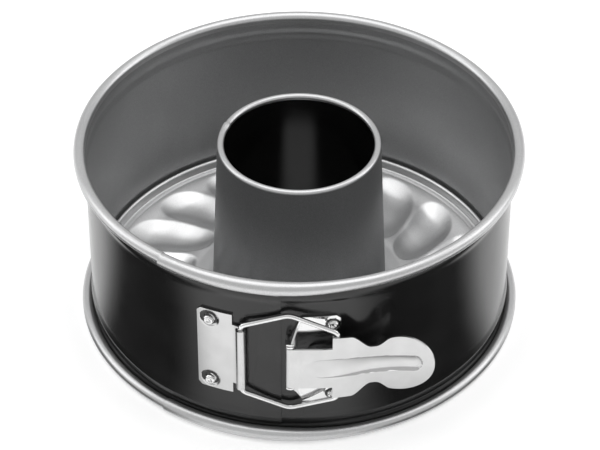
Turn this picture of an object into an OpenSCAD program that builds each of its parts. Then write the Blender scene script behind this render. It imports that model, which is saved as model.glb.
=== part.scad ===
// Springform pan with a tube base: a sprung ring with rolled beads, a fluted base plate
// with a chimney tube, and an over-centre clasp of catch plate, wire bail, lever and bracket.
// Frame: Z is the ring's axis, z = 0 is the surface it stands on, and the clasp faces -Y.
// Azimuths are in degrees from -Y, positive towards +X.

/* [Ring] */
// Inside diameter of the ring
inner_d = 180; // [176:1:184]
// Height over both beads
height = 85.2; // [84:0.2:90]
// Thickness of the ring's and tube's sheet
sheet = 0.5; // [0.4:0.05:0.6]
// Radius of the rolled beads
bead_r = 2.45; // [2.2:0.05:2.6]
// Azimuth where the outer end of the strip stops
tongue_end = -4.6; // [-6:0.1:-4]
// Azimuth where the inner end of the strip stops
overlap_end = -36.6; // [-40:0.2:-34]

/* [Base and tube] */
// Number of swirled lobes in the base
lobes = 18; // [12:1:24]
// Depth of a lobe below the ridges between lobes
lobe_depth = 3.2; // [1.5:0.1:3.4]
// Turn of each lobe between its inner and outer end, in degrees
lobe_swirl = 9; // [0:1:14]
// Outer radius of the tube at its rim
tube_top_r = 34.7; // [30:0.5:36]
// Outer radius of the tube at its foot
tube_foot_r = 38; // [36:0.5:38.5]
// Height of the tube's rim centre above the surface
tube_top = 82.8; // [70:0.2:86]

/* [Clasp] */
// Height of the clasp's middle above the surface
clasp_z = 43.2; // [40:0.2:46]
// Diameter of the bail's wire
wire_d = 2.1; // [1.8:0.1:2.2]
// Thickness of the clasp's sheet
plate_t = 1; // [0.8:0.1:1.1]
// Half height of the lever's shoulders
shoulder_h = 16.2; // [15.6:0.1:16.4]
// Radius of the lever's thumb pad
pad_r = 14.2; // [12:0.2:15]

/* [Hidden] */
$fn = 64;

// Ring
in_r = inner_d / 2;
out_r = in_r + sheet;
seat_cut = 0.12;                    // how far the lower bead is flattened underneath
bead_cr = in_r + 0.3 + bead_r;      // radius of the bead's centre line
bead_z0 = bead_r - seat_cut;
bead_z1 = height - bead_r;
wrap_r = bead_r + 0.5;              // bead of the inner end, rolled round the outer end's bead
wrap_cr = bead_cr + 0.45;
wrap_z0 = wrap_r - seat_cut;
wrap_z1 = height - wrap_r;
slip = 0.12;                        // gap between the two ends where they overlap
tongue_gap = 0.25;                  // gap between the outer end's edges and the inner end's beads
tongue_z0 = wrap_z0 + wrap_r + tongue_gap;
tongue_z1 = wrap_z1 - wrap_r - tongue_gap;
split_gap = 0.05;                   // half of the gap at the back, in degrees
joggle = 0.3;                       // length of the step in the strip, in degrees
end_gap = 0.2;                      // gap beyond the step, in degrees
step_lap = 0.15;                    // how far the step runs into both walls, in degrees
step_inset = 0.1;                   // how far the step's faces lie inside the walls' faces
groove = [11, 3.2, 0.9];            // holds the base: height, half width and depth
top_groove = [height - 9.7, 3.5, 0.8];
ledge = [6.3, 1.5, -0.6];           // carries the base's edge

// Base
base_t = 0.6;
rim_out = in_r - 0.25;
rim_r = in_r - 1.5;
rim_z = 11.5;
skirt_z = 8.2;
floor_z = 5;                        // flat ring round the tube's foot
relief_r = [46.5, 82.5];            // inner and outer radius of the lobed part
relief_z = [5, 8.4];
columns_per_lobe = 6;

// Clasp
tongue_r = out_r + slip + sheet;    // outer face of the strip's outer end
seat = 0.03;                        // gap under a riveted plate
catch_az = [-26.7, -17.1];
catch_h = 21;
catch_rivet_az = -23.2;
catch_rivet_h = 16.3;
knuckle_az = -14.6;
knuckle_h = 15.8;
knuckle_cr = in_r + 3.9;
wire_r = wire_d / 2;
knuckle_bore = wire_r + 0.08;
knuckle_r = knuckle_bore + 0.8;
knuckle_x = knuckle_cr * sin(knuckle_az);
knuckle_y = -knuckle_cr * cos(knuckle_az);
bracket_h = 22.8;
bracket_az = 10.7;
bracket_rivet_az = 8.5;
bracket_rivet_h = 18.9;
pin_x = -3.6;
pin_y = -in_r - 5.35;
pin_r = 1.2;
curl_r = 2.1;
tongue_h = 10.4;
ear_z = tongue_h + 0.3;
ear_t = 1;
lug_x = 15.6;
shoulder_x = [13.4, 21.9];
neck_h = 9.7;
pad_x = 40.7;
lever_y = -in_r - 7.9;              // outermost face of the lever
lever_drop = 3.9;                   // how far the neck lies behind the tongue
rib_x = [8, 50];                    // stiffening rib pressed out along the lever
rib_half = 4.7;
rib_rise = 0.7;
bail_end_y = lever_face(lug_x) + plate_t + wire_r + 0.15;
bail_h = [17.8, 25.2, shoulder_h + wire_r + 0.4];
stub_h = 12.1;

function bump(z, g) = abs(z - g[0]) < g[1] ? g[2] * (1 + cos(180 * (z - g[0]) / g[1])) / 2 : 0;
function wall_in(z) = in_r + bump(z, groove) + bump(z, top_groove) + bump(z, ledge);
function span(g, n) = [for (i = [0 : n]) g[0] - g[1] + 2 * g[1] * i / n];
function wall_steps(z0, z1) = concat(
    [z0],
    [for (z = concat(span(ledge, 6), span(groove, 8), span(top_groove, 8))) if (z > z0 && z < z1) z],
    [z1]
);
function reversed(v) = [for (i = [len(v) - 1 : -1 : 0]) v[i]];

// Section of a wall: offsets from the ring's inner face to the wall's two faces
function wall_section(z0, z1, inside, outside) = concat(
    [for (z = wall_steps(z0, z1)) [wall_in(z) + inside, z]],
    [for (z = reversed(wall_steps(z0, z1))) [wall_in(z) + outside, z]]
);

// Outer face of the lever along its length
function lever_face(x) =
    x < 6 ? lever_y + 0.45 * pow((6 - x) / (6 - pin_x), 2)
    : x < pad_x ? lever_y + lever_drop * (1 - cos(180 * (x - 6) / (pad_x - 6))) / 2
    : lever_y + lever_drop - 1.2 * pow((x - pad_x) / pad_r, 2);

// Height of the lever's rib along its length, rising and falling over a few millimetres
function rib_height(x) =
    rib_rise * min(1, (x - rib_x[0]) / 12, (rib_x[1] - x) / 3);

// Top face of the base between the lobed part's radii
function swirl(r, a) = a - lobe_swirl * (r - relief_r[0]) / (relief_r[1] - relief_r[0]);
function along(r) = (r - relief_r[0]) / (relief_r[1] - relief_r[0]);
function across(r, a) = abs(1 - 2 * ((swirl(r, a) * lobes / 360) - floor(swirl(r, a) * lobes / 360)));
function ridge_z(r) = relief_z[0] + (relief_z[1] - relief_z[0]) * along(r);
function relief_top(r, a) =
    ridge_z(r) - lobe_depth * (1 - pow(across(r, a), 4)) * pow(sin(180 * along(r)), 0.7);

// Sweeps a section through a range of azimuths
module sector(a0, a1) {
    rotate([0, 0, a0 - 90])
        rotate_extrude(angle = a1 - a0)
            children();
}

module bead_section(cr, z, r) {
    difference() {
        translate([cr, z]) circle(r);
        translate([cr, z]) circle(r - sheet);
        translate([cr - 2 * r, -2]) square([4 * r, 2]);
    }
}

// A shape seen from the front, given depth along Y
module front(y0, y1) {
    translate([0, y1, 0])
        rotate([90, 0, 0])
            linear_extrude(y1 - y0)
                children();
}

module radial(az, r, z) {
    rotate([0, 0, az])
        translate([0, -r, z])
            rotate([90, 0, 0])
                children();
}

module wire(p, q) {
    d = q - p;
    length = norm(d);
    translate(p)
        rotate([0, acos(d[2] / length), atan2(d[1], d[0])])
            cylinder(r = wire_r, h = length);
}

module band_left() {
    color("#202124")
        difference() {
            union() {
                sector(-180 + split_gap, overlap_end - joggle)
                    union() {
                        polygon(wall_section(bead_z0, bead_z1, 0, sheet));
                        bead_section(bead_cr, bead_z0, bead_r);
                        bead_section(bead_cr, bead_z1, bead_r);
                    }
                sector(overlap_end - joggle - step_lap, overlap_end)
                    polygon(wall_section(
                        tongue_z0 + step_inset, tongue_z1 - step_inset,
                        step_inset, 2 * sheet + slip - step_inset
                    ));
                sector(overlap_end - step_lap, tongue_end)
                    polygon(wall_section(tongue_z0, tongue_z1, sheet + slip, 2 * sheet + slip));
            }
            for (side = [-1, 1])
                radial(catch_rivet_az, in_r - 1, clasp_z + side * catch_rivet_h)
                    cylinder(r = 1.55, h = 4);
        }
}

module band_right() {
    color("#202124")
        difference() {
            union() {
                sector(overlap_end + end_gap, 180 - split_gap)
                    polygon(wall_section(wrap_z0, wrap_z1, 0, sheet));
                sector(tongue_end, 180 - split_gap)
                    union() {
                        bead_section(bead_cr, bead_z0, bead_r);
                        bead_section(bead_cr, bead_z1, bead_r);
                    }
                sector(overlap_end + end_gap, tongue_end)
                    union() {
                        bead_section(wrap_cr, wrap_z0, wrap_r);
                        bead_section(wrap_cr, wrap_z1, wrap_r);
                    }
            }
            for (side = [-1, 1])
                radial(bracket_rivet_az, in_r - 1, clasp_z + side * bracket_rivet_h)
                    cylinder(r = 1.55, h = 4);
        }
}

// The base is one sheet: its section is followed round the axis, with the lobes' depth added
module base_plate() {
    steps = 7;
    radii = [for (i = [0 : steps]) relief_r[0] + (relief_r[1] - relief_r[0]) * i / steps];
    columns = lobes * columns_per_lobe;
    inner = [[tube_foot_r + 0.35, floor_z]];
    outer = [
        [rim_r - 4, relief_z[1]], [rim_r - 2, relief_z[1] + 0.3], [rim_r - 1, rim_z - 0.7],
        [rim_r, rim_z], [rim_r + 0.8, rim_z - 0.3], [rim_out, rim_z - 1.3], [rim_out, skirt_z]
    ];
    outer_under = [
        [rim_out - base_t, skirt_z], [rim_out - base_t, rim_z - 1.6], [rim_r, rim_z - base_t],
        [rim_r - 0.6, rim_z - 1.5], [rim_r - 1.6, relief_z[1] + 0.3 - base_t],
        [rim_r - 4, relief_z[1] - base_t]
    ];
    function section(a) = concat(
        inner,
        [for (r = radii) [r, relief_top(r, a)]],
        outer,
        outer_under,
        [for (r = reversed(radii)) [r, relief_top(r, a) - base_t]],
        [[inner[0][0], floor_z - base_t]]
    );
    count = len(section(0));
    points = [
        for (c = [0 : columns - 1])
            let (a = 360 * c / columns)
                for (p = section(a)) [p[0] * cos(a), p[0] * sin(a), p[1]]
    ];
    faces = [
        for (c = [0 : columns - 1], i = [0 : count - 1])
            let (
                here = c * count,
                next = ((c + 1) % columns) * count,
                j = (i + 1) % count
            )
                each [[here + i, here + j, next + j], [here + i, next + j, next + i]]
    ];
    color("#b9bcc0")
        polyhedron(points, faces, convexity = 6);
}

module tube() {
    rim = 1.43;
    flange_top = floor_z - base_t - 0.1;
    color("#6b6d70")
        rotate_extrude()
            union() {
                polygon([
                    [tube_foot_r, flange_top - sheet],
                    [tube_foot_r, floor_z],
                    [tube_top_r, tube_top],
                    [tube_top_r - sheet, tube_top],
                    [tube_foot_r - sheet, floor_z],
                    [tube_foot_r - sheet, flange_top - sheet]
                ]);
                translate([tube_foot_r - sheet, flange_top - sheet])
                    square([4, sheet]);
                difference() {
                    translate([tube_top_r - rim, tube_top]) circle(rim);
                    translate([tube_top_r - rim, tube_top]) circle(rim - sheet);
                }
            }
}

module catch_plate() {
    plate_r = tongue_r + seat;
    x0 = plate_r * sin(catch_az[0]);
    x1 = plate_r * sin(catch_az[1]);
    color("#d9dadc")
        difference() {
            union() {
                intersection() {
                    sector(catch_az[0] - 1, knuckle_az + 0.2)
                        translate([plate_r, clasp_z - catch_h - 1]) square([plate_t, 2 * catch_h + 2]);
                    front(-in_r - 8, -in_r + 25)
                        polygon([
                            [x0 + 2, clasp_z + catch_h], [x1, clasp_z + catch_h],
                            [x1, clasp_z + knuckle_h], [x1 + 8, clasp_z + knuckle_h],
                            [x1 + 8, clasp_z - knuckle_h], [x1, clasp_z - knuckle_h],
                            [x1, clasp_z - catch_h], [x0 + 2, clasp_z - catch_h],
                            [x0, clasp_z - catch_h + 2], [x0, clasp_z + catch_h - 2]
                        ]);
                }
                translate([knuckle_x, knuckle_y, clasp_z - knuckle_h + 0.1])
                    cylinder(r = knuckle_r, h = 2 * knuckle_h - 0.2);
            }
            translate([knuckle_x, knuckle_y, clasp_z - knuckle_h - 1])
                cylinder(r = knuckle_bore, h = 2 * knuckle_h + 2);
            for (side = [-1, 1])
                radial(catch_rivet_az, in_r - 1, clasp_z + side * catch_rivet_h)
                    cylinder(r = 1.55, h = 4);
        }
}

// A flush rivet: its tail ends inside the sheet, so nothing stands into the ring
module rivet(az, z, tail_r, face_r) {
    color("#c9cacc")
        radial(az, tail_r, z)
            rotate_extrude()
                polygon([
                    [0, 0], [1.5, 0], [1.5, face_r - tail_r], [2.6, face_r - tail_r],
                    [2.5, face_r - tail_r + 0.4], [1.6, face_r - tail_r + 0.8],
                    [0, face_r - tail_r + 0.9]
                ]);
}

module catch_rivet(side) {
    rivet(catch_rivet_az, clasp_z + side * catch_rivet_h, out_r + slip + 0.03, tongue_r + plate_t + 0.1);
}

module bracket_rivet(side) {
    rivet(bracket_rivet_az, clasp_z + side * bracket_rivet_h, in_r + 0.03, out_r + plate_t + 0.1);
}

module bail() {
    bend_r = wire_r + 0.02;
    color("#d9dadc") {
        wire(
            [knuckle_x, knuckle_y, clasp_z - bail_h[0]],
            [knuckle_x, knuckle_y, clasp_z + bail_h[0]]
        );
        for (side = [-1, 1]) {
            corner = [knuckle_x, knuckle_y, clasp_z + side * bail_h[0]];
            peak = [
                (lug_x + knuckle_x) / 2,
                (knuckle_y + bail_end_y) / 2,
                clasp_z + side * bail_h[1]
            ];
            end = [lug_x, bail_end_y, clasp_z + side * bail_h[2]];
            wire(corner, peak);
            wire(peak, end);
            wire(end, [lug_x, bail_end_y, clasp_z + side * stub_h]);
            for (p = [corner, peak, end])
                translate(p) sphere(r = bend_r);
        }
    }
}

module lever_outline() {
    translate([pin_x - curl_r, clasp_z - tongue_h])
        square([shoulder_x[0] - pin_x + curl_r + 1, 2 * tongue_h]);
    polygon([
        [shoulder_x[0], clasp_z + shoulder_h], [shoulder_x[1], clasp_z + shoulder_h - 0.3],
        [27.4, clasp_z + neck_h + 0.6], [33, clasp_z + neck_h],
        [33, clasp_z - neck_h], [27.4, clasp_z - neck_h - 0.6],
        [shoulder_x[1], clasp_z - shoulder_h + 0.3], [shoulder_x[0], clasp_z - shoulder_h]
    ]);
    translate([pad_x, clasp_z]) circle(pad_r);
}

module rib_outline() {
    for (x = [rib_x[0] + rib_half, rib_x[1] - rib_half])
        translate([x, clasp_z]) circle(rib_half - 0.1);
    translate([rib_x[0] + rib_half, clasp_z - rib_half + 0.1])
        square([rib_x[1] - rib_x[0] - 2 * rib_half, 2 * rib_half - 0.2]);
}

module lever() {
    end_x = pad_x + pad_r;
    steps = 24;
    stations = [for (i = [0 : steps]) pin_x + (end_x - pin_x) * i / steps];
    rib_stations = [for (i = [0 : steps]) rib_x[0] + (rib_x[1] - rib_x[0]) * i / steps];
    color("#dddee0")
        difference() {
            union() {
                intersection() {
                    translate([0, 0, clasp_z - 30])
                        linear_extrude(60)
                            polygon(concat(
                                [for (x = stations) [x, lever_face(x)]],
                                [for (x = reversed(stations)) [x, lever_face(x) + plate_t]]
                            ));
                    front(-in_r - 12, -in_r)
                        lever_outline();
                }
                intersection() {
                    translate([0, 0, clasp_z - rib_half])
                        linear_extrude(2 * rib_half)
                            polygon(concat(
                                [for (x = rib_stations) [x, lever_face(x) - rib_height(x)]],
                                [for (x = reversed(rib_stations)) [x, lever_face(x) + plate_t / 2]]
                            ));
                    front(-in_r - 12, -in_r)
                        rib_outline();
                }
                translate([pin_x, pin_y, clasp_z - tongue_h])
                    cylinder(r = curl_r, h = 2 * tongue_h);
            }
            translate([pin_x, pin_y, clasp_z - tongue_h - 1])
                cylinder(r = pin_r + 0.07, h = 2 * tongue_h + 2);
        }
}

module lever_pin() {
    head = 0.7;
    color("#c9cacc")
        translate([pin_x, pin_y, clasp_z]) {
            cylinder(r = pin_r, h = 2 * (ear_z + ear_t) + 0.4, center = true);
            for (side = [-1, 1])
                translate([0, 0, side * (ear_z + ear_t + 0.05 + head / 2)])
                    cylinder(r = 1.9, h = head, center = true);
        }
}

module bracket() {
    plate_r = out_r + seat;
    foot_x = 4.5;
    foot_y = -sqrt(pow(plate_r + plate_t / 2, 2) - foot_x * foot_x);
    tip_y = pin_y + curl_r + 0.5;
    right_x = plate_r * sin(bracket_az);
    color("#cfd0d3")
        difference() {
            union() {
                intersection() {
                    union() {
                        sector(asin(foot_x / plate_r) - 0.8, bracket_az)
                            translate([plate_r, clasp_z - bracket_h]) square([plate_t, 2 * bracket_h]);
                        translate([0, 0, clasp_z - bracket_h])
                            linear_extrude(2 * bracket_h)
                                polygon([
                                    [foot_x, foot_y - plate_t / 2], [pin_x, tip_y],
                                    [pin_x, tip_y + plate_t], [foot_x, foot_y + plate_t / 2]
                                ]);
                    }
                    front(-in_r - 12, -in_r + 10)
                        polygon([
                            [right_x - 2, clasp_z + bracket_h], [right_x, clasp_z + bracket_h - 2],
                            [right_x, clasp_z - bracket_h + 2], [right_x - 2, clasp_z - bracket_h],
                            [1.2, clasp_z - bracket_h], [pin_x, clasp_z - ear_z - ear_t],
                            [pin_x, clasp_z + ear_z + ear_t], [1.2, clasp_z + bracket_h]
                        ]);
                }
                for (side = [-1, 1])
                    translate([0, 0, clasp_z + side * (ear_z + ear_t / 2) - ear_t / 2])
                        linear_extrude(ear_t)
                            union() {
                                translate([pin_x, pin_y]) circle(curl_r);
                                polygon([
                                    [pin_x - curl_r, pin_y], [pin_x + curl_r, pin_y],
                                    [foot_x, foot_y], [pin_x, tip_y + plate_t / 2]
                                ]);
                            }
            }
            translate([pin_x, pin_y, clasp_z - bracket_h])
                cylinder(r = pin_r + 0.02, h = 2 * bracket_h);
            for (side = [-1, 1])
                radial(bracket_rivet_az, in_r - 1, clasp_z + side * bracket_rivet_h)
                    cylinder(r = 1.55, h = 4);
        }
}

band_left();
band_right();
base_plate();
tube();
catch_plate();
catch_rivet(1);  // catch_rivet_upper
catch_rivet(-1);  // catch_rivet_lower
bail();
lever();
lever_pin();
bracket();
bracket_rivet(1);  // bracket_rivet_upper
bracket_rivet(-1);  // bracket_rivet_lower
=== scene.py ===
"""Springform pan with a tube base: detailed pieces, materials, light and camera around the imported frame."""

import math

import bmesh
import bpy
import numpy as np
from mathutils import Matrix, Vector


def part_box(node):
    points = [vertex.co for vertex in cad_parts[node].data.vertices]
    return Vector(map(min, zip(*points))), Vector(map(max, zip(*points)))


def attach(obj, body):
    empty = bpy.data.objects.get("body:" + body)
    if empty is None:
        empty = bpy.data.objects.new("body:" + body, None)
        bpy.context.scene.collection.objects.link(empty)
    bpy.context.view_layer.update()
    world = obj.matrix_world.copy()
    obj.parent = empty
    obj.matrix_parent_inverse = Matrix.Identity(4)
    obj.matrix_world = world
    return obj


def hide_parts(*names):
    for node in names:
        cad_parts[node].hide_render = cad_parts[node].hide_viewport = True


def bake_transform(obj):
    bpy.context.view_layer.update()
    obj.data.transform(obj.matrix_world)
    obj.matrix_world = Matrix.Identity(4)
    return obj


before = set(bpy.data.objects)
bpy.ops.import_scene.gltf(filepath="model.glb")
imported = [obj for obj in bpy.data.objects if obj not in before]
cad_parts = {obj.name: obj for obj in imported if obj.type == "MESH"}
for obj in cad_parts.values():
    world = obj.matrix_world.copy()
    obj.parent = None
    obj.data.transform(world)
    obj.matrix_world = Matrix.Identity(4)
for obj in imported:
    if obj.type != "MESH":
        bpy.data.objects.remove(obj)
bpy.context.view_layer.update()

MM = 0.001

# --- Sizes in millimetres, from the frame where it gives them ---------------------------------


def box_mm(node):
    """A node's lowest and highest corners in millimetres."""
    low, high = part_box(node)
    return [v / MM for v in low], [v / MM for v in high]


_, RING_HIGH = box_mm("band_right")
LEFT_LOW, _ = box_mm("band_left")
TUBE_LOW, TUBE_HIGH = box_mm("tube")
PLATE_LOW, PLATE_HIGH = box_mm("catch_plate")
PIN_LOW, PIN_HIGH = box_mm("lever_pin")

# The ring: azimuths are in degrees from -Y towards +X.
HEIGHT = RING_HIGH[2]
BEAD_OUT = -LEFT_LOW[0]
SHEET = 0.5
BEAD_R = 2.45
BEAD_CR = BEAD_OUT - BEAD_R
IN_R = BEAD_CR - BEAD_R - 0.3
# How much the lower bead is flattened where it stands.
FLAT = 0.12
# The inner end's bead is larger and further out where it wraps the outer end's.
WRAP_GROW = 0.5
WRAP_SHIFT = 0.45
SLIP = 0.12
TONGUE_END = -4.6
OVERLAP_END = -36.6
STEP_END = -36.43
# Each groove's middle height, half height, and depth outwards.
GROOVES = [(10.8, 2.8, 0.5), (HEIGHT - 9.7, 3.5, 0.6), (6.3, 1.5, -0.5)]
TONGUE_Z = (6.05, HEIGHT - 6.15)
# Half the angle of the piece at the back.
BACK_SPLIT = 32

BASE_T = 0.6
LOBES = 18
LOBE_DEPTH = 2.4
# Turn of a lobe between its inner and outer end, and the share of a lobe by which all of them are turned.
LOBE_SWIRL = 13
LOBE_PHASE = 0.275
RELIEF_R = (46.5, 83.6)
RELIEF_Z = (5, 8.4)
RIM_OUT = IN_R - 0.25
RIM_R = IN_R - 1.5
RIM_Z = 11.5
SKIRT_Z = 8.2
FLOOR_Z = 5

TUBE_TOP_R = 34.7
TUBE_FOOT_R = 38
TUBE_BEAD_R = 1.43
TUBE_BEAD_Z = TUBE_HIGH[2] - TUBE_BEAD_R
SEAM_AZ = -113.5

CLASP_Z = (PLATE_LOW[2] + PLATE_HIGH[2]) / 2
WIRE_R = 1.05
PIN_X = (PIN_LOW[0] + PIN_HIGH[0]) / 2
PIN_Y = (PIN_LOW[1] + PIN_HIGH[1]) / 2
KNUCKLE_AZ = -14.6
KNUCKLE_CR = IN_R + 3.9
KNUCKLE_H = 15.8
CATCH_AZ = (-26.65, -17.1)
CATCH_H = 21
CATCH_T = 0.9
CATCH_RIVETS = [(-23.2, side * 16.3) for side in (-1, 1)]
BRACKET_AZ = 10.6
BRACKET_H = 22.8
BRACKET_T = 0.9
BRACKET_RIVETS = [(8.5, side * 18.9) for side in (-1, 1)]
# The lever, from left to right: tongue, shoulders, neck, and the round thumb pad's middle.
TONGUE_H = 10.4
SHOULDER_X = 13.4
SHOULDER_END = 20.6
SHOULDER_H = 16.2
NECK_X, NECK_H = 30.5, 9.7
PAD_X, PAD_R = 40.7, 14.2
# The lever's face starts to sweep inwards here, by this much up to the pad, and stands this far off the ring.
SWEEP_X = 6
SWEEP = 3.9
LEVER_OFF = 7.9
LEVER_T = 0.8
# How far the rib stands out at its left end, and how much more on the right.
RIB_RISE = (0.55, 0.95)
# The bail's ends, and half heights of its ends' tips, ends, middle corners and knuckle corners.
BAIL_X = 15.6
BAIL_H = (12.2, 17.65, 25.2, 17.8)
BAIL_BEND_R = 2.4


# --- Mesh helpers -------------------------------------------------------------------------


def polar(r, azimuth, z):
    """A point at an azimuth in degrees from -Y towards +X."""
    a = math.radians(azimuth)
    return np.array([r * math.sin(a), -r * math.cos(a), z])


def smooth(x, a, b):
    """0 before a, 1 after b, and a smooth step between."""
    t = np.clip((np.asarray(x, float) - a) / (b - a), 0, 1)
    return t * t * (3 - 2 * t)


def bump(z, groove):
    """How far a groove moves the wall outwards at a height."""
    centre, half, depth = groove
    return np.where(np.abs(z - centre) < half, depth * (1 + np.cos(np.pi * (z - centre) / half)) / 2, 0)


def add_mesh(name, verts, faces, materials, slots=None):
    """A smooth-shaded mesh object; verts are in millimetres."""
    mesh = bpy.data.meshes.new(name)
    mesh.from_pydata([tuple(float(c) * MM for c in v) for v in verts], [], faces)
    for material in materials:
        mesh.materials.append(material)
    if slots is not None:
        mesh.polygons.foreach_set("material_index", slots)
    mesh.polygons.foreach_set("use_smooth", [True] * len(mesh.polygons))
    mesh.validate()
    mesh.update()
    obj = bpy.data.objects.new(name, mesh)
    bpy.context.scene.collection.objects.link(obj)
    return obj


def sharpen(obj, degrees):
    """Marks edges sharper than an angle, so that faces shade apart there."""
    obj.data.set_sharp_from_angle(angle=math.radians(degrees))


def bevel(obj, width):
    """Rounds the sheet's sharp edges."""
    modifier = obj.modifiers.new("edge", "BEVEL")
    modifier.width = width * MM
    modifier.segments = 2
    modifier.limit_method = "ANGLE"
    modifier.angle_limit = math.radians(40)
    modifier.harden_normals = False


class Builder:
    """Collects grids of points into one mesh; a slot is the number of a face's material."""

    def __init__(self):
        self.verts, self.faces, self.slots = [], [], []

    def grid(self, points, slot=0, close_rows=False, close_columns=False, flip=False):
        """Quads over rows and columns of points; slot is one number or one a column."""
        rows, columns = points.shape[:2]
        base = len(self.verts)
        self.verts.extend(points.reshape(-1, 3))
        for i in range(rows if close_rows else rows - 1):
            i2 = (i + 1) % rows
            for j in range(columns if close_columns else columns - 1):
                j2 = (j + 1) % columns
                quad = [base + i * columns + j, base + i * columns + j2,
                        base + i2 * columns + j2, base + i2 * columns + j]
                self.faces.append(quad[::-1] if flip else quad)
                self.slots.append(slot[j] if isinstance(slot, (list, np.ndarray)) else slot)
        return base

    def strip(self, loops, slots):
        """A sheet whose rows are closed loops, down one face and back up the other, with both ends capped."""
        base = self.grid(loops, slots, close_columns=True)
        rows, n = loops.shape[:2]
        for row, flip in ((0, True), (rows - 1, False)):
            start = base + row * n
            for j in range(n // 2 - 1):
                quad = [start + j, start + j + 1, start + n - 2 - j, start + n - 1 - j]
                self.faces.append(quad[::-1] if flip else quad)
                self.slots.append(0)

    def shell(self, middle, thickness, normals=None):
        """A sheet of some thickness round a grid of middle points, with closed edges."""
        if normals is None:
            du = np.gradient(middle, axis=0)
            dv = np.gradient(middle, axis=1)
            normals = np.cross(du, dv)
            size = np.linalg.norm(normals, axis=2, keepdims=True)
            normals = normals / np.maximum(size, 1e-9)
        m, n = middle.shape[:2]
        a = self.grid(middle + normals * thickness / 2)
        b = self.grid(middle - normals * thickness / 2, flip=True)
        border = ([(0, j) for j in range(n)] + [(i, n - 1) for i in range(1, m)]
                  + [(m - 1, j) for j in range(n - 2, -1, -1)] + [(i, 0) for i in range(m - 2, 0, -1)])
        for (i, j), (k, l) in zip(border, border[1:] + border[:1]):
            self.faces.append([a + i * n + j, b + i * n + j, b + k * n + l, a + k * n + l])
            self.slots.append(0)

    def object(self, name, materials):
        """The finished object, with its faces turned outwards."""
        obj = add_mesh(name, self.verts, self.faces, materials, self.slots)
        work = bmesh.new()
        work.from_mesh(obj.data)
        bmesh.ops.remove_doubles(work, verts=work.verts, dist=1e-7)
        bmesh.ops.recalc_face_normals(work, faces=work.faces)
        work.to_mesh(obj.data)
        work.free()
        return obj


def lathe(section, origin, axis_x, axis_up, steps=64):
    """Turns a section of (radius, height) points round an axis."""
    origin, u, w = np.array(origin), np.array(axis_x), np.array(axis_up)
    v = np.cross(w, u)
    turns = np.linspace(0, 2 * np.pi, steps, endpoint=False)
    return np.array([[origin + r * (math.cos(t) * u + math.sin(t) * v) + h * w for r, h in section]
                     for t in turns])


# --- Materials ----------------------------------------------------------------------------


def new_material(name, color, metallic, roughness):
    """A material with its nodes, its links and its shader."""
    material = bpy.data.materials.new(name)
    material.use_nodes = True
    shader = material.node_tree.nodes["Principled BSDF"]
    shader.inputs["Base Color"].default_value = (*color, 1)
    shader.inputs["Metallic"].default_value = metallic
    shader.inputs["Roughness"].default_value = roughness
    return material, material.node_tree.nodes, material.node_tree.links, shader


def grey(tone):
    """A grey that is very slightly blue."""
    return (tone, tone + 0.002, tone + 0.005)


def noise(nodes, links, scale, detail, stretch=(1, 1, 1)):
    """Noise in the object's own coordinates."""
    coords = nodes.new("ShaderNodeTexCoord")
    mapping = nodes.new("ShaderNodeMapping")
    mapping.inputs["Scale"].default_value = stretch
    texture = nodes.new("ShaderNodeTexNoise")
    texture.inputs["Scale"].default_value = scale
    texture.inputs["Detail"].default_value = detail
    links.new(coords.outputs["Object"], mapping.inputs["Vector"])
    links.new(mapping.outputs["Vector"], texture.inputs["Vector"])
    return texture.outputs["Fac"]


def spread(nodes, links, value, low, high):
    """Maps a noise value to a range of roughness."""
    node = nodes.new("ShaderNodeMapRange")
    node.inputs["From Min"].default_value = 0.3
    node.inputs["From Max"].default_value = 0.7
    node.inputs["To Min"].default_value = low
    node.inputs["To Max"].default_value = high
    links.new(value, node.inputs["Value"])
    return node.outputs["Result"]


def color_between(nodes, links, value, dark, light):
    """Mixes two colours by a noise value."""
    ramp = nodes.new("ShaderNodeValToRGB")
    ramp.color_ramp.elements[0].position = 0.35
    ramp.color_ramp.elements[0].color = (*dark, 1)
    ramp.color_ramp.elements[1].position = 0.65
    ramp.color_ramp.elements[1].color = (*light, 1)
    links.new(value, ramp.inputs["Fac"])
    return ramp.outputs["Color"]


def add_bump(nodes, links, shader, value, strength):
    """Presses a noise value into the surface, 0.02 mm deep."""
    node = nodes.new("ShaderNodeBump")
    node.inputs["Strength"].default_value = strength
    node.inputs["Distance"].default_value = 0.02 * MM
    links.new(value, node.inputs["Height"])
    links.new(node.outputs["Normal"], shader.inputs["Normal"])


def glossy_black(name, tone, roughness):
    """The baked-on coating outside: black, glossy, with a faint orange-peel."""
    material, nodes, links, shader = new_material(name, (tone, tone, tone), 0, roughness)
    grain = noise(nodes, links, 2400, 2)
    cloud = noise(nodes, links, 60, 3)
    links.new(spread(nodes, links, cloud, roughness - 0.03, roughness + 0.03), shader.inputs["Roughness"])
    dark, light = (tone * 0.8,) * 3, (tone * 1.2,) * 3
    links.new(color_between(nodes, links, cloud, dark, light), shader.inputs["Base Color"])
    add_bump(nodes, links, shader, grain, 0.05)
    return material


def satin_grey(name, dark, light, roughness):
    """The non-stick coating on the cake side: grey with fine metal flakes."""
    material, nodes, links, shader = new_material(name, grey(light), 0.9, roughness)
    flakes = noise(nodes, links, 3800, 2)
    cloud = noise(nodes, links, 45, 3)
    links.new(color_between(nodes, links, flakes, grey(dark), grey(light)), shader.inputs["Base Color"])
    links.new(spread(nodes, links, cloud, roughness - 0.03, roughness + 0.04), shader.inputs["Roughness"])
    add_bump(nodes, links, shader, flakes, 0.06)
    return material


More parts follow.
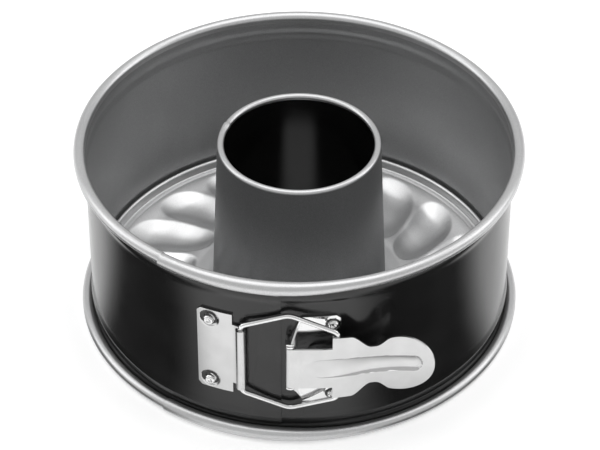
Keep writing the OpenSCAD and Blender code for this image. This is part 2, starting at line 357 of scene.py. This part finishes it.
def nickel(name, tone, roughness):
    """Bright plated steel with faint rolling lines and handling marks."""
    light = (tone, tone, tone)
    material, nodes, links, shader = new_material(name, light, 1, roughness)
    lines = noise(nodes, links, 900, 3, (1, 1, 14))
    cloud = noise(nodes, links, 130, 4)
    dull = tuple(c * 0.93 for c in light)
    links.new(color_between(nodes, links, cloud, dull, light), shader.inputs["Base Color"])
    links.new(spread(nodes, links, lines, roughness - 0.04, roughness + 0.07), shader.inputs["Roughness"])
    add_bump(nodes, links, shader, lines, 0.06)
    return material


BLACK = glossy_black("gloss_black", 0.009, 0.16)
TUBE_BLACK = glossy_black("gloss_black_inside", 0.004, 0.14)
GREY = satin_grey("satin_grey", 0.32, 0.42, 0.44)
BEAD = satin_grey("satin_bead", 0.50, 0.62, 0.33)
TUBE_GREY = satin_grey("satin_tube", 0.22, 0.30, 0.44)
BASE_GREY = satin_grey("satin_base", 0.68, 0.80, 0.35)
NICKEL = nickel("nickel_sheet", 0.60, 0.15)
WIRE = nickel("nickel_wire", 0.78, 0.07)


# --- The ring -------------------------------------------------------------------------------


def ring_path(wrap, shift):
    """Middle line of the strip's section, from the lower curl's end, up the wall, to the upper curl's end.

    wrap grows the beads from 0 to 1; shift moves the middle of the wall outwards. The rows where the wall
    starts and ends come with it."""
    curl_rows, wall_rows = 34, 92
    bead = BEAD_R + WRAP_GROW * wrap
    centre = BEAD_CR + WRAP_SHIFT * wrap
    mid = bead - SHEET / 2
    low = bead - FLAT
    high = HEIGHT - bead
    turn = np.radians(np.linspace(162, -178, curl_rows))
    lower = np.stack([centre + mid * np.cos(turn), low + mid * np.sin(turn)], 1)
    lower[:, 1] = np.maximum(lower[:, 1], SHEET / 2)
    z = np.linspace(low + 0.4, high - 0.4, wall_rows)
    r = IN_R + SHEET / 2 + sum(bump(z, g) for g in GROOVES)
    neck = centre - mid
    ends = np.maximum(1 - smooth(z, low, low + 2.6), smooth(z, high - 3, high))
    r = r * (1 - ends) + neck * ends
    r = r + shift * smooth(z, 4, 6.5) * (1 - smooth(z, HEIGHT - 6.5, HEIGHT - 4))
    wall = np.stack([r, z], 1)
    turn = np.radians(np.linspace(178, -162, curl_rows))
    upper = np.stack([centre + mid * np.cos(turn), high + mid * np.sin(turn)], 1)
    return np.concatenate([lower, wall, upper]), (curl_rows, curl_rows + wall_rows)


def side_points(path, offset):
    """The path moved sideways; positive is the cake side."""
    along = np.gradient(path, axis=0)
    along /= np.linalg.norm(along, axis=1, keepdims=True)
    left = np.stack([-along[:, 1], along[:, 0]], 1)
    return path + left * offset


def ring_strip(name, a0, a1, wrap, shift):
    """A stretch of the sprung strip between two azimuths; wrap and shift give their values at an azimuth."""
    loops = []
    for a in np.linspace(a0, a1, int(round(a1 - a0)) + 1):
        path, (wall_from, wall_to) = ring_path(wrap(a), shift(a))
        cake = side_points(path, SHEET / 2)
        black = side_points(path, -SHEET / 2)
        cake[:, 1] = np.clip(cake[:, 1], 0, HEIGHT)
        loops.append([polar(r, a, z) for r, z in np.concatenate([cake, black[::-1]])])
    n = len(path)
    slots = [2 if (j < wall_from + 2 or j > wall_to - 3) else 1 for j in range(n)] + [0] * n
    build = Builder()
    build.strip(np.array(loops), slots)
    obj = build.object(name, [BLACK, GREY, BEAD])
    sharpen(obj, 60)
    return obj


def wrap_at(a):
    """How far the inner end's bead is rolled round the outer end's bead."""
    if a < TONGUE_END:
        return 0.78 + 0.22 * float(smooth(a, OVERLAP_END, TONGUE_END))
    return 0.85 * float(1 - smooth(a, TONGUE_END, TONGUE_END + 19))


def no_change(a):
    """For a stretch that has neither wrap nor step."""
    return 0.0


def step_at(a):
    """The left wall's step outwards, just before it passes over the inner end."""
    return (SHEET + SLIP) * float(smooth(a, STEP_END - 24, STEP_END - 0.5))


def make_ring():
    """The strip in three stretches and its tongue; the stretch at the back is attached to no body."""
    half = 180 - BACK_SPLIT
    right = ring_strip("ring_strip_right", OVERLAP_END + 0.2, half, wrap_at, no_change)
    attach(right, "ring")
    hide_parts("band_right")

    left = ring_strip("ring_strip_left", -half, STEP_END, no_change, step_at)
    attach(left, "ring_left")
    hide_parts("band_left")

    back = ring_strip("ring_strip_back", half, 180 + BACK_SPLIT, no_change, no_change)
    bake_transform(back)

    tongue = make_tongue()
    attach(tongue, "ring_left")


def make_tongue():
    """The strip's outer end, which passes over the inner end between its beads."""
    z = np.linspace(*TONGUE_Z, 90)
    middle_r = IN_R + SHEET / 2 + SHEET + SLIP + sum(bump(z, g) for g in GROOVES)
    azimuths = np.linspace(STEP_END - 0.05, TONGUE_END, 40)
    build = Builder()
    inner = np.array([[polar(r - SHEET / 2, a, h) for r, h in zip(middle_r, z)] for a in azimuths])
    outer = np.array([[polar(r + SHEET / 2, a, h) for r, h in zip(middle_r, z)] for a in azimuths])
    loops = np.concatenate([inner, outer[:, ::-1]], axis=1)
    build.strip(loops, [1] * len(z) + [0] * len(z))
    obj = build.object("ring_tongue", [BLACK, GREY])
    sharpen(obj, 40)
    return obj


# --- Base and tube ---------------------------------------------------------------------------


def relief_top(r, azimuth):
    """Height of the lobed floor: each lobe is a round-ended dish between narrow swirled ridges."""
    along = (r - RELIEF_R[0]) / (RELIEF_R[1] - RELIEF_R[0])
    turn = (azimuth - LOBE_SWIRL * along) * LOBES / 360 + LOBE_PHASE
    pitch = 2 * math.pi * r / LOBES
    across = np.abs(turn - np.floor(turn) - 0.5) * pitch
    half = pitch / 2 - 0.5
    outer_end = np.maximum(0, r - 68) / 14.6
    inner_end = np.maximum(0, 57 - r) / 10.2
    reach = ((across / half) ** 2.3 + outer_end ** 2.3 + inner_end ** 2.3) ** (1 / 2.3)
    dish = np.clip(1 - reach ** 2.2, 0, 1)
    rounded = dish ** 2 / (dish + 0.2) * 1.2

    ridge = RELIEF_Z[0] + (RELIEF_Z[1] - RELIEF_Z[0]) * along
    level = smooth(along, -0.02, 0.10) * (1 - smooth(along, 0.97, 1))
    fall = 1.1 * (1 - smooth(r, 74, 83.4))
    return ridge - LOBE_DEPTH * rounded * level - fall * smooth(along, 0.05, 0.4)


def base_section():
    """The sheet's upper face in (radius, height): inside the relief, the rise to the rim, and the rim."""
    inner = [(TUBE_FOOT_R + 0.3, FLOOR_Z + 0.5), (TUBE_FOOT_R + 0.55, FLOOR_Z + 0.15),
             (TUBE_FOOT_R + 1.1, FLOOR_Z), (42, FLOOR_Z), (45.5, FLOOR_Z)]
    rise = [(RIM_R - 4.5, 8.36), (RIM_R - 4.1, 8.2), (RIM_R - 3.5, 8.08), (RIM_R - 2.9, 8.06),
            (RIM_R - 2.35, 8.1), (RIM_R - 2.0, 8.18), (RIM_R - 1.8, 8.38), (RIM_R - 1.62, 8.75),
            (RIM_R - 1.3, 9.6), (RIM_R - 0.95, 10.5), (RIM_R - 0.8, 10.8)]
    rim = [(RIM_R - 0.55, 11.1), (RIM_R - 0.28, 11.36), (RIM_R, RIM_Z), (RIM_R + 0.3, RIM_Z),
           (RIM_R + 0.6, RIM_Z - 0.1), (RIM_R + 0.85, RIM_Z - 0.35), (RIM_R + 1.1, RIM_Z - 0.75),
           (RIM_OUT, RIM_Z - 1.3), (RIM_OUT, SKIRT_Z)]
    return inner, rise, rim


def under_face(top, rim_rows):
    """The lower face, one thickness below the upper one, kept within the rim's outside."""
    radius = np.hypot(top[..., 0], top[..., 1])
    dr = np.gradient(radius, axis=1)
    dz = np.gradient(top[..., 2], axis=1)
    size = np.hypot(dr, dz)
    lowered = (radius + dz / size * BASE_T) / radius
    under = np.stack([top[..., 0] * lowered, top[..., 1] * lowered, top[..., 2] - dr / size * BASE_T], -1)
    rim = under[:, -rim_rows:]
    rim_radius = np.hypot(rim[..., 0], rim[..., 1])
    rim[..., :2] *= (np.minimum(rim_radius, RIM_OUT - BASE_T * 0.2) / rim_radius)[..., None]
    return under


def make_base():
    """The loose base: one pressed sheet round the tube's foot."""
    floor = np.linspace(*RELIEF_R, 84)
    inner, rise, rim = base_section()
    top = []
    for azimuth in np.linspace(0, 360, LOBES * 36, endpoint=False):
        section = inner + list(zip(floor, relief_top(floor, azimuth))) + rise + rim
        a = math.radians(azimuth)
        top.append([(r * math.cos(a), r * math.sin(a), z) for r, z in section])
    top = np.array(top)
    loops = np.concatenate([top, under_face(top, len(rim))[:, ::-1]], axis=1)
    n = top.shape[1]
    build = Builder()
    build.grid(loops, [0] * n + [1] * n, close_rows=True, close_columns=True)
    obj = build.object("base_shell", [BASE_GREY, BLACK])
    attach(obj, "base")
    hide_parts("base_plate")


def make_tube():
    """The chimney: a flared tube with its top edge rolled inwards and its foot turned out below the base."""
    centre_r = TUBE_TOP_R - TUBE_BEAD_R
    mid = TUBE_BEAD_R - SHEET / 2
    flange_z = TUBE_LOW[2] + SHEET / 2
    foot = [(TUBE_FOOT_R + 3.4, flange_z), (TUBE_FOOT_R + 1.0, flange_z),
            (TUBE_FOOT_R + 0.2, flange_z + 0.1), (TUBE_FOOT_R - SHEET / 2, flange_z + 0.6)]
    z = np.linspace(FLOOR_Z, TUBE_BEAD_Z, 40)
    lean = (z - FLOOR_Z) / (TUBE_BEAD_Z - FLOOR_Z)
    wall = [(TUBE_FOOT_R + (TUBE_TOP_R - TUBE_FOOT_R) * t - SHEET / 2, h) for t, h in zip(lean, z)]
    turn = np.radians(np.linspace(8, 350, 30))
    curl = [(centre_r + mid * math.cos(t), TUBE_BEAD_Z + mid * math.sin(t)) for t in turn]
    path = np.array(foot + wall + curl)
    outer, inner = side_points(path, -SHEET / 2), side_points(path, SHEET / 2)
    loop = np.concatenate([outer, inner[::-1]])
    n = len(path)
    bead_from = len(foot) + len(wall) - 1
    slots = [1 if j >= bead_from else 0 for j in range(n)] + [2] * n
    points = []
    for a in SEAM_AZ + np.concatenate([[0, 0.5, 1.5], np.linspace(3, 360, 239)[:-1]]):
        swell = 0.24 * float(smooth(a, SEAM_AZ, SEAM_AZ + 0.5) * (1 - smooth(a, SEAM_AZ + 2, SEAM_AZ + 9)))
        row = loop.copy()
        for j in range(bead_from, 2 * n - bead_from):
            away = row[j] - (centre_r, TUBE_BEAD_Z)
            row[j] = row[j] + away / np.linalg.norm(away) * swell * float(smooth(away[1], -1.4, 0.2))
        points.append([polar(r, a, h) for r, h in row])
    build = Builder()
    build.grid(np.array(points), slots, close_rows=True, close_columns=True)
    obj = build.object("chimney_tube", [TUBE_GREY, BEAD, TUBE_BLACK])
    sharpen(obj, 60)
    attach(obj, "base")
    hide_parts("tube")


# --- Clasp -----------------------------------------------------------------------------------


def plan_strip(path, half_at, rows, lift, core=math.inf):
    """Middle grid of a sheet that follows a path seen from above, and its normals.

    half_at(i) is its half height and lift(i, h) how far it stands out. The middle half of its rows stays
    within core of the middle, so that these rows can keep their heights along the path."""
    path = np.array(path, float)
    along = np.gradient(path, axis=0)
    along /= np.maximum(np.linalg.norm(along, axis=1, keepdims=True), 1e-9)
    out = np.stack([along[:, 1], -along[:, 0]], 1)
    grid = np.zeros((len(path), rows, 3))
    for i, (x, y) in enumerate(path):
        half = half_at(i)
        inner = min(core, half / 2)
        for j, t in enumerate(np.linspace(-1, 1, rows)):
            h = 2 * t * inner
            if abs(t) > 0.5:
                h = math.copysign(inner + (half - inner) * (2 * abs(t) - 1), t)
            d = lift(i, h)
            grid[i, j] = (x + out[i, 0] * d, y + out[i, 1] * d, CLASP_Z + h)
    normals = np.repeat(np.concatenate([out, np.zeros((len(path), 1))], 1)[:, None, :], rows, axis=1)
    return grid, normals


def arc_path(r, a0, a1, count):
    """Points seen from above, on an arc round the ring's axis."""
    return [tuple(polar(r, a, 0)[:2]) for a in np.linspace(a0, a1, count)]


def make_catch_plate():
    """Plate on the strip's outer end; its right side curls round the bail's wire."""
    middle_r = IN_R + 2 * SHEET + SLIP + 0.03 + 0.55
    knuckle = polar(KNUCKLE_CR, KNUCKLE_AZ, 0)[:2]
    curl_r = WIRE_R + 0.08 + CATCH_T / 2 + 0.02
    plate = arc_path(middle_r, *CATCH_AZ, 60)
    bends = zip(np.linspace(-17.08, -14.9, 8), smooth(np.linspace(0, 1, 8), 0, 1))
    tab = [tuple(polar(middle_r + (KNUCKLE_CR - curl_r - middle_r) * t, a, 0)[:2]) for a, t in bends]
    facing = math.degrees(math.atan2(knuckle[1], knuckle[0]))
    turn = np.radians(facing + np.linspace(178, -105, 28))
    curl = [(knuckle[0] + curl_r * math.cos(t), knuckle[1] + curl_r * math.sin(t)) for t in turn]
    path = plate + tab + curl
    count = len(plate)
    azimuths = np.linspace(*CATCH_AZ, count)

    def half_at(i):
        if i >= count:
            return KNUCKLE_H
        corner = (azimuths[i] - CATCH_AZ[0]) * math.radians(1) * middle_r
        return CATCH_H - max(0.0, 1.6 - corner)

    def lift(i, h):
        if i >= count:
            return 0
        away = from_rivet(azimuths[i], h, CATCH_RIVETS, middle_r)
        return -0.6 * float(1 - smooth(away, 3.0, 4.5))

    grid, normals = plan_strip(path, half_at, 121, lift)
    build = Builder()
    build.shell(grid, CATCH_T, normals)
    obj = build.object("catch_plate_sheet", [NICKEL, BLACK])
    # Painted shade: the dish round each rivet takes the black coating, centred a little left of and above the
    # rivet.
    paint_dish_shade(obj, [polar(middle_r, a - 0.3, CLASP_Z + z + 0.4) for a, z in CATCH_RIVETS], 3.7)
    sharpen(obj, 50)
    bevel(obj, 0.16)
    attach(obj, "ring_left")
    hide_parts("catch_plate")


def from_rivet(azimuth, height, rivets, r):
    """Distance over a curved plate to the nearest of its rivets."""
    return min(math.hypot((azimuth - a) * math.radians(1) * r, height - z) for a, z in rivets)


def paint_dish_shade(obj, centres, radius):
    """Colours the faces round each rivet with the black coating: painted shade in the plate's dish, where the
    plate has no hole.
    """
    for face in obj.data.polygons:
        place = np.array(face.center) / MM
        if min(np.linalg.norm((place - c)[[0, 2]]) for c in centres) < radius:
            face.material_index = 1


def make_rivet(node, body, place, r):
    """A tubular rivet with a rolled rim and a dimple in its head, standing out from a radius."""
    azimuth, height = place
    up = polar(1, azimuth, 0)
    sideways = np.array([math.cos(math.radians(azimuth)), math.sin(math.radians(azimuth)), 0])
    origin = polar(r, azimuth, CLASP_Z + height)
    section = [(0.001, 1.55), (0.4, 1.56), (0.75, 1.7), (1.0, 2.0), (1.25, 2.2), (1.6, 2.2), (1.95, 1.95),
               (2.15, 1.5), (2.2, 1.0), (2.25, 0.3), (2.5, 0.05), (2.5, -0.1), (1.45, -0.12),
               (1.45, -0.5), (0.001, -0.5)]
    build = Builder()
    build.grid(lathe(section, origin, sideways, up), 0, close_rows=True)
    obj = build.object(f"{node}_turned", [WIRE])
    sharpen(obj, 55)
    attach(obj, body)
    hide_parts(node)


def rounded(points, radius):
    """A path of straight runs whose corners are rounded, by at most half of a run."""
    points = [np.array(p, float) for p in points]
    out = [points[0]]
    for before, here, after in zip(points, points[1:], points[2:]):
        a, b = before - here, after - here
        reach = min(radius, np.linalg.norm(a) / 2, np.linalg.norm(b) / 2)
        p, q = here + a / np.linalg.norm(a) * reach, here + b / np.linalg.norm(b) * reach
        for t in np.linspace(0, 1, 7):
            out.append((1 - t) ** 2 * p + 2 * t * (1 - t) * here + t * t * q)
    out.append(points[-1])
    return out


def sweep(path, radius):
    """A round wire along a path, with domed ends."""
    path = np.array(path)
    along = np.gradient(path, axis=0)
    along /= np.linalg.norm(along, axis=1, keepdims=True)
    up = np.array([0.0, 1.0, 0.0])
    turns = np.linspace(0, 2 * np.pi, 18, endpoint=False)
    rings = []
    last = len(path) - 1
    for i, (p, d) in enumerate(zip(path, along)):
        u = up - d * (up @ d)
        u /= np.linalg.norm(u)
        v = np.cross(d, u)
        circle = np.array([math.cos(t) * u + math.sin(t) * v for t in turns])
        if i == 0:
            rings += [p + circle * 0.02, p + circle * radius * 0.7, p + d * 0.25 + circle * radius]
        elif i == last:
            rings += [p - d * 0.25 + circle * radius, p + circle * radius * 0.7, p + circle * 0.02]
        else:
            rings.append(p + circle * radius)
    return np.array(rings)


def make_bail():
    """The wire loop: open behind the lever, where its two ends turn in under the shoulders."""
    x, y, _ = polar(KNUCKLE_CR, KNUCKLE_AZ, 0)
    mid_x, mid_y = (x + BAIL_X) / 2, (y + BAIL_END_Y) / 2
    places = [(BAIL_X, BAIL_END_Y), (BAIL_X, BAIL_END_Y), (mid_x, mid_y), (x, y)]
    arm = [(px, py, h) for (px, py), h in zip(places, BAIL_H)]
    route = [(px, py, CLASP_Z + h) for px, py, h in arm]
    route += [(px, py, CLASP_Z - h) for px, py, h in arm[::-1]]
    build = Builder()
    build.grid(sweep(rounded(route, BAIL_BEND_R), WIRE_R - 0.01), 0, close_columns=True)
    obj = build.object("bail_wire", [WIRE])
    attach(obj, "bail")
    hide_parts("bail")


def lever_face(x):
    """Y of the lever's outermost face along its length; its sheet lies a little inside of this."""
    low = -IN_R - LEVER_OFF
    if x < SWEEP_X:
        return low + 0.45 * ((SWEEP_X - x) / (SWEEP_X - PIN_X)) ** 2
    if x < PAD_X:
        return low + SWEEP * (1 - math.cos(math.pi * (x - SWEEP_X) / (PAD_X - SWEEP_X))) / 2
    return low + SWEEP - 1.2 * ((x - PAD_X) / PAD_R) ** 2


BAIL_END_Y = lever_face(BAIL_X) + 1 + WIRE_R + 0.15


def lever_half(x):
    """Half height of the lever's outline."""
    if x < SHOULDER_X:
        return TONGUE_H
    pad = math.sqrt(max(0.0, PAD_R ** 2 - (x - PAD_X) ** 2))
    if x < SHOULDER_END:
        return SHOULDER_H - 0.035 * (x - SHOULDER_X)
    if x < NECK_X:
        return SHOULDER_H - 0.25 - (SHOULDER_H - 0.25 - NECK_H) * float(smooth(x, SHOULDER_END, 29.2))
    blend = float(smooth(x, NECK_X - 0.5, NECK_X + 6.5))
    return (1 - blend) * NECK_H + blend * pad


def make_lever():
    """Stamped sheet: tongue curled round the pin, shoulders over the bail's ends, embossed thumb pad."""
    tip = PAD_X + PAD_R
    t = np.linspace(0, 1, 44)
    xs = list(tip - 0.02 - (tip - 36) * (1 - np.cos(t * np.pi / 2)))
    xs += list(np.linspace(35.7, SHOULDER_X + 0.02, 60))
    xs += list(np.linspace(SHOULDER_X - 0.02, PIN_X + 0.3, 40))
    insets = 0.22 + 0.33 * smooth(xs, -3, 5)
    path = [(x, lever_face(x) + inset + LEVER_T / 2 - 0.05) for x, inset in zip(xs, insets)]
    curl_r = PIN_Y - path[-1][1]
    turn = np.radians(np.linspace(268, -10, 26))
    curl = [(PIN_X + curl_r * math.cos(a), PIN_Y + curl_r * math.sin(a)) for a in turn]
    halves = [lever_half(x) for x in xs] + [TONGUE_H] * len(curl)

    def lift(i, h):
        return rib_rise(xs[i], h) if i < len(xs) else 0

    grid, normals = plan_strip(path + curl, lambda i: halves[i], 97, lift, core=5.0)
    build = Builder()
    build.shell(grid, LEVER_T, normals)
    for side in (-1, 1):
        build.shell(*lip(side))
    obj = build.object("lever_sheet", [NICKEL])
    sharpen(obj, 50)
    bevel(obj, 0.16)
    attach(obj, "lever")
    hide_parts("lever")


def rib_rise(x, h):
    """How far the embossed rib stands out: a dome with round ends, wider and lower at the left."""
    half = 4.9 - 0.9 * float(smooth(x, 10, 46))
    left = max(0.0, (9.0 - x) / 5.2)
    right = max(0.0, (x - 46.6) / 3.2)
    dome = max(0.0, 1 - (h / half) ** 2 - left ** 2 - right ** 2) ** 0.5
    return (RIB_RISE[0] + RIB_RISE[1] * float(smooth(x, 8, 30))) * dome


def lip(side):
    """The bent-back edge of a shoulder, left of the bail's end."""
    x = SHOULDER_X + 0.45
    y = lever_face(x) + 1.0
    zs = np.linspace(TONGUE_H + 1.3, SHOULDER_H - 0.2, 8) * side + CLASP_Z
    depth = [(x + 0.1, y - 0.35), (x, y + 0.1), (x - 0.12, y + 0.7), (x - 0.2, y + 1.5)]
    return np.array([[(px, py, z) for z in zs] for px, py in depth]), 0.55


def make_bracket():
    """Riveted plate on the right, whose left corners turn outwards as webs that carry the lever's pin."""
    plate_r = IN_R + SHEET + 0.03 + 0.5
    left_az = math.degrees(math.asin((PIN_X + 0.2) / plate_r))
    azimuths = np.linspace(BRACKET_AZ, left_az, 90)
    path = arc_path(plate_r, BRACKET_AZ, left_az, 90)
    right = path[0][0]

    def half_at(i):
        x = path[i][0]
        corner = max(0.0, 1.8 - (right - x)) * 0.9
        slant = 11.7 + (BRACKET_H - 11.7) * min(1.0, max(0.0, (x - PIN_X) / 4.8))
        return min(BRACKET_H - corner, slant)

    def lift(i, h):
        away = from_rivet(azimuths[i], h, BRACKET_RIVETS, plate_r)
        return -0.3 * float(1 - smooth(away, 2.7, 3.7))

    grid, normals = plan_strip(path, half_at, 121, lift)
    build = Builder()
    build.shell(grid, BRACKET_T, normals)
    for side in (-1, 1):
        build.shell(*web(side, plate_r))
        build.shell(*lug(side))
    obj = build.object("bracket_sheet", [WIRE, BLACK])
    # Painted shade: the dish round each rivet takes the black coating.
    paint_dish_shade(obj, [polar(plate_r, a, CLASP_Z + z) for a, z in BRACKET_RIVETS], 2.9)
    sharpen(obj, 50)
    bevel(obj, 0.14)
    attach(obj, "ring")
    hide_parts("bracket")


def web(side, plate_r):
    """The bent-out flank between the plate's slanted edge and the lug that holds the pin."""
    rows = []
    for t in np.linspace(0, 1, 20):
        x = 0.9 + (PIN_X - 0.9) * t
        z = 22.2 + (TONGUE_H + 0.8 - 22.2) * t
        foot = -math.sqrt(plate_r ** 2 - x * x)
        stand = 0.4 + (foot - PIN_Y + 1.5) * t ** 1.5
        rows.append([(x, foot - stand * s, CLASP_Z + side * (z - 0.4 * t * s)) for s in np.linspace(0, 1, 8)])
    return np.array(rows), 0.8


def lug(side):
    """The rounded end of the web, level, with the pin through it."""
    z = CLASP_Z + side * (TONGUE_H + 0.75)
    rows = []
    for y in np.linspace(PIN_Y - 1.85, PIN_Y + 3.2, 16):
        bulge = min(1.0, (y - PIN_Y + 2.0) / 2.0)
        half = 2.0 * math.sqrt(max(0.02, 1 - (1 - bulge) ** 2))
        rows.append([(PIN_X + half * s, y, z) for s in np.linspace(-1, 1, 9)])
    return np.array(rows), 0.8


def make_pin():
    """The lever's pin, with a domed head on each cheek."""
    half = (PIN_HIGH[2] - PIN_LOW[2]) / 2
    section = [(0.001, -half), (0.9, -half + 0.05), (1.6, -half + 0.25), (1.85, -half + 0.6),
               (1.12, -half + 0.66), (1.1, half - 0.66), (1.85, half - 0.6), (1.6, half - 0.25),
               (0.9, half - 0.05), (0.001, half)]
    build = Builder()
    build.grid(lathe(section, (PIN_X, PIN_Y, CLASP_Z), (1, 0, 0), (0, 0, 1), 40), 0, close_rows=True)
    obj = build.object("pin_turned", [WIRE])
    sharpen(obj, 45)
    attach(obj, "ring")
    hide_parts("lever_pin")


def make_clasp():
    """The two plates, the linkage between them and their four rivets."""
    make_catch_plate()
    make_bail()
    make_lever()
    make_bracket()
    make_pin()
    catch_face = IN_R + 2 * SHEET + SLIP + 1.0
    bracket_face = IN_R + SHEET + 1.0
    for i, word in ((1, "upper"), (0, "lower")):
        make_rivet(f"catch_rivet_{word}", "ring_left", CATCH_RIVETS[i], catch_face - 0.45)
        make_rivet(f"bracket_rivet_{word}", "ring", BRACKET_RIVETS[i], bracket_face - 0.35)


# --- Stage, light and camera --------------------------------------------------------------------

CARD_SHADE = 0.97
CARD_Z = 0.4
LENS = 163.24
CAMERA_SHIFT = (0.82 / 600, -2.21 / 600)
CAMERA_ELEVATION = 39.53
CAMERA_DISTANCE = 1.17515
CAMERA_TARGET = Vector((0, 0, 0.0396))


def make_floor():
    """A pale paper floor that glows a little."""
    bpy.ops.mesh.primitive_plane_add(size=8, location=(0, 0, -0.0003))
    floor = bpy.context.object
    floor.name = "floor"
    material, nodes, links, shader = new_material("floor_paper", (0.86, 0.86, 0.86), 0, 0.9)
    paper = noise(nodes, links, 30, 2)
    links.new(color_between(nodes, links, paper, (0.85, 0.85, 0.85), (0.87, 0.87, 0.87)),
              shader.inputs["Base Color"])
    shader.inputs["Specular IOR Level"].default_value = 0
    shader.inputs["Emission Color"].default_value = (1, 1, 1, 1)
    shader.inputs["Emission Strength"].default_value = 0.35
    floor.data.materials.append(material)


def hole_card():
    """Darkens what the tube's inside reflects of the floor below it, but for a wedge.

    The wedge opens towards the front, so that the far wall shows it as an upright stripe."""
    build = Builder()
    radii = np.linspace(0.5, TUBE_FOOT_R + 8, 32)
    build.grid(np.array([[polar(r, a, CARD_Z) for r in radii] for a in np.linspace(0, 360, 97)]))
    card = add_mesh("card_hole", build.verts, build.faces, [])

    def darkness(x, y):
        clear = max(3.0, 0.2 * (TUBE_FOOT_R - 2 * y))
        return CARD_SHADE * float(smooth(abs(x), 0.6 * clear, 1.4 * clear))

    shade_card(card, darkness)


def dark_card(name, middle, drift, half):
    """A soft-edged dark card on the floor that only reflections see, to draw the ring's shape.

    drift turns its middle by that many degrees a millimetre outwards."""
    build = Builder()
    azimuths = np.linspace(middle - half - 25, middle + half + 25, 61)
    radii = np.linspace(97, 300, 13)
    build.grid(np.array([[polar(r, a, CARD_Z) for r in radii] for a in azimuths]))
    card = add_mesh(name, build.verts, build.faces, [])

    def darkness(x, y):
        r = math.hypot(x, y)
        away = abs(math.degrees(math.atan2(x, -y)) - middle - drift * (r - 113))
        return CARD_SHADE * float(1 - smooth(away, half * 0.4, half)) * float(1 - smooth(r, 190, 300))

    shade_card(card, darkness)


def shade_card(card, darkness):
    """Gives a card its soft-edged shade, and hides it from everything but reflections."""
    shade = card.data.color_attributes.new("shade", "FLOAT_COLOR", "POINT")
    for i, vertex in enumerate(card.data.vertices):
        shade.data[i].color = (darkness(vertex.co.x / MM, vertex.co.y / MM),) * 3 + (1,)
    material = bpy.data.materials.new(card.name)
    material.use_nodes = True
    nodes, links = material.node_tree.nodes, material.node_tree.links
    nodes.clear()
    value = nodes.new("ShaderNodeAttribute")
    value.attribute_name = "shade"
    mix = nodes.new("ShaderNodeMixShader")
    clear = nodes.new("ShaderNodeBsdfTransparent")
    black = nodes.new("ShaderNodeBsdfDiffuse")
    black.inputs["Color"].default_value = (0.01, 0.01, 0.01, 1)
    end = nodes.new("ShaderNodeOutputMaterial")
    links.new(value.outputs["Fac"], mix.inputs["Fac"])
    links.new(clear.outputs["BSDF"], mix.inputs[1])
    links.new(black.outputs["BSDF"], mix.inputs[2])
    links.new(mix.outputs["Shader"], end.inputs["Surface"])
    card.data.materials.append(material)
    card.visible_camera = False
    card.visible_diffuse = False
    card.visible_shadow = False


def area_light(name, place, target, size, power):
    """A rectangular soft light that faces a target."""
    light = bpy.data.lights.new(name, "AREA")
    light.shape = "RECTANGLE"
    light.size, light.size_y = size
    light.energy = power
    obj = bpy.data.objects.new(name, light)
    obj.location = place
    aim = Vector(target) - Vector(place)
    obj.rotation_euler = aim.to_track_quat("-Z", "Y").to_euler()
    bpy.context.scene.collection.objects.link(obj)


def make_light():
    """An even white surrounding, a soft light above and a weaker one at each side."""
    world = bpy.data.worlds.new("studio")
    world.use_nodes = True
    world.node_tree.nodes["Background"].inputs["Color"].default_value = (1, 1, 1, 1)
    world.node_tree.nodes["Background"].inputs["Strength"].default_value = 0.68
    bpy.context.scene.world = world
    area_light("top", (0, 0.1, 1.1), (0, 0, 0), (1.2, 1.0), 5)
    area_light("left", (-1.0, 0.2, 0.7), (0, 0, 0.05), (0.6, 0.9), 2.5)
    area_light("right", (1.0, 0.2, 0.7), (0, 0, 0.05), (0.6, 0.9), 2.5)


def make_camera():
    """A long lens that looks down at the clasp's side."""
    camera = bpy.data.cameras.new("camera")
    camera.sensor_width = 36
    camera.lens = LENS
    camera.shift_x, camera.shift_y = CAMERA_SHIFT
    camera.clip_start = 0.05
    obj = bpy.data.objects.new("camera", camera)
    elevation = math.radians(CAMERA_ELEVATION)
    back = CAMERA_DISTANCE * math.cos(elevation)
    up = CAMERA_DISTANCE * math.sin(elevation)
    obj.location = CAMERA_TARGET + Vector((0, -back, up))
    obj.rotation_euler = (CAMERA_TARGET - obj.location).to_track_quat("-Z", "Y").to_euler()
    bpy.context.scene.collection.objects.link(obj)
    bpy.context.scene.camera = obj


make_ring()
make_base()
make_tube()
make_clasp()
make_floor()
dark_card("card_left", -58, -0.19, 34)
dark_card("card_right", 46, 0.14, 36)
hole_card()
make_light()
make_camera()
bpy.context.scene.view_settings.view_transform = "Standard"
